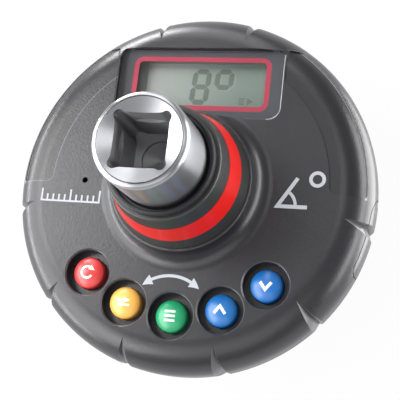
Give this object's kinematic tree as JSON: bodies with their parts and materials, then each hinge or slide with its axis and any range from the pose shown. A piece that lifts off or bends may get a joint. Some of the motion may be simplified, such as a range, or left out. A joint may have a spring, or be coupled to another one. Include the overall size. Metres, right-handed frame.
{
  "type": "digital torque tester",
  "caption": "In-line torque tester: round electronic case with a display and domed buttons, on a square-drive shaft with a socket end, ball catch and battery door.",
  "frame": {"origin": "on the drive axis, at the shoulder behind the male square, where a fitted socket stops", "axes": "+Z along the drive axis, out of the front socket; +Y to the display; +X to the battery door"},
  "size_m": [0.0972, 0.0972, 0.084],
  "materials": {
    "drive_steel": "polished chrome plate",
    "spring_steel": "drawn spring wire",
    "case_plastic": "fine moulded grain",
    "turret_plastic": "satin moulding",
    "band_plastic": "glossy",
    "seal_rubber": "smooth rubber",
    "lens_plastic": "clear window",
    "mask_ink": "printed sheet",
    "lcd_glass": "liquid crystal panel",
    "inner_plastic": "plain moulding",
    "contact_rubber": "elastic contact strip",
    "board_laminate": "solder mask",
    "chip_resin": "moulded resin",
    "film_amber": "polyimide film",
    "socket_plastic": "ivory moulding",
    "cell_jacket": "plain printed jacket",
    "contact_plate": "nickel-plated sheet",
    "screw_steel": "black oxide",
    "button_red": "glossy",
    "button_yellow": "glossy",
    "button_green": "glossy",
    "button_blue": "glossy"
  },
  "bodies": {
    "case": {"torsion_shaft": "drive_steel", "catch_spring": "spring_steel", "strain_gauges": "film_amber", "gauge_ribbon": "film_amber", "front_cover": "case_plastic", "rear_cover": "case_plastic", "turret_sleeve": "turret_plastic", "colour_band": "band_plastic", "front_seal": "seal_rubber", "rear_ring": "seal_rubber", "display_lens": "lens_plastic", "display_mask": "mask_ink", "lcd_panel": "lcd_glass", "lcd_frame": "inner_plastic", "zebra_strips": "contact_rubber", "main_board": "board_laminate", "board_chips": "chip_resin", "gyro_sensor": "chip_resin", "buzzer": "inner_plastic", "ribbon_socket": "socket_plastic", "switch_bodies": "inner_plastic", "battery_cell": "cell_jacket", "battery_holder": "inner_plastic", "battery_spring": "spring_steel", "case_screws": "screw_steel", "flange_screws": "screw_steel", "board_screws": "screw_steel"},
    "clear_key": {"clear_button": "button_red", "clear_switch_stem": "inner_plastic"},
    "unit_key": {"unit_button": "button_yellow", "unit_switch_stem": "inner_plastic"},
    "memory_key": {"memory_button": "button_green", "memory_switch_stem": "inner_plastic"},
    "up_key": {"up_button": "button_blue", "up_switch_stem": "inner_plastic"},
    "down_key": {"down_button": "button_blue", "down_switch_stem": "inner_plastic"},
    "catch": {"catch_ball": "drive_steel"},
    "door": {"battery_door": "case_plastic", "door_contact": "contact_plate"}
  },
  "joints": [
    {"name": "clear_press", "type": "slide", "parent": "case", "child": "clear_key", "axis": [0, 0, -1], "range_m": [0, 0.0008], "stiffness_N_per_m": 1500, "springref_m": -0.0002},
    {"name": "unit_press", "type": "slide", "parent": "case", "child": "unit_key", "axis": [0, 0, -1], "range_m": [0, 0.0008], "stiffness_N_per_m": 1500, "springref_m": -0.0002},
    {"name": "memory_press", "type": "slide", "parent": "case", "child": "memory_key", "axis": [0, 0, -1], "range_m": [0, 0.0008], "stiffness_N_per_m": 1500, "springref_m": -0.0002},
    {"name": "up_press", "type": "slide", "parent": "case", "child": "up_key", "axis": [0, 0, -1], "range_m": [0, 0.0008], "stiffness_N_per_m": 1500, "springref_m": -0.0002},
    {"name": "down_press", "type": "slide", "parent": "case", "child": "down_key", "axis": [0, 0, -1], "range_m": [0, 0.0008], "stiffness_N_per_m": 1500, "springref_m": -0.0002},
    {"name": "catch_slide", "type": "slide", "parent": "case", "child": "catch", "axis": [-1, 0, 0], "range_m": [0, 0.001], "stiffness_N_per_m": 4000, "springref_m": -0.001, "deforming": ["catch_spring"]},
    {"name": "door_lift", "type": "slide", "parent": "case", "child": "door", "axis": [0.9799, -0.1994, 0], "range_m": [0, 0.012]}
  ]
}
